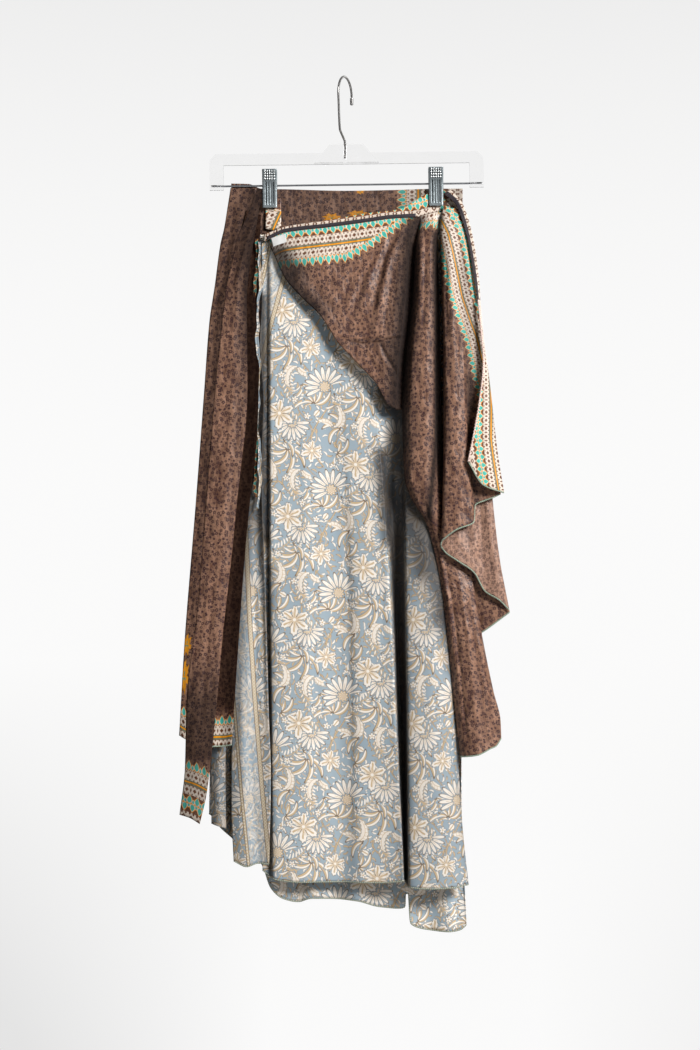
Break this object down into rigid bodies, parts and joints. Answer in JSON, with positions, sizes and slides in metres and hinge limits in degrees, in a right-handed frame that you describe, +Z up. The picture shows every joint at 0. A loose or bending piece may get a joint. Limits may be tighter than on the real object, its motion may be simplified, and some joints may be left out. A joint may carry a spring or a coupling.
{
  "type": "wrap skirt on a clip hanger",
  "caption": "Two-layer wrap skirt of printed satin with hanging waist ties, draped in folds and held by the waist on a clear hanger with metal clips.",
  "frame": {"origin": "underside of the hook's top arc, the point where it hangs on a rail", "axes": "+Z up, -Y towards the front of the skirt, +X to the right as seen from the front"},
  "size_m": [0.4283, 0.09, 1.117],
  "materials": {
    "clear_plastic": "clear, glossy",
    "rod_steel": "dark, satin",
    "hook_steel": "drawn wire, satin",
    "clip_steel": "pressed plate with ribs",
    "outer_satin": "printed satin",
    "under_cotton": "printed light cloth",
    "ribbon": "dark woven binding",
    "label_cloth": "plain woven tape"
  },
  "bodies": {
    "root": {"hanger_body": "clear_plastic", "hanger_rod": "rod_steel", "hanger_hook": "hook_steel", "hanger_hook_tip": "hook_steel", "clip_left_front": "clip_steel", "clip_left_back": "clip_steel", "clip_left_pivot": "clip_steel", "clip_right_front": "clip_steel", "clip_right_back": "clip_steel", "clip_right_pivot": "clip_steel", "waistband_back": "outer_satin", "waistband_front": "outer_satin", "waistband_fall": "outer_satin", "waistband_tab": "outer_satin", "binding_front": "ribbon", "binding_fall": "ribbon", "label": "label_cloth", "tie_back": "outer_satin", "tie_front": "outer_satin", "outer_left": "outer_satin", "outer_sweep": "outer_satin", "outer_pleat": "outer_satin", "outer_fall": "outer_satin", "outer_flap": "outer_satin", "outer_return": "outer_satin", "outer_tail": "outer_satin", "outer_back": "outer_satin", "under_left": "under_cotton", "under_front": "under_cotton", "under_back": "under_cotton"}
  },
  "joints": []
}
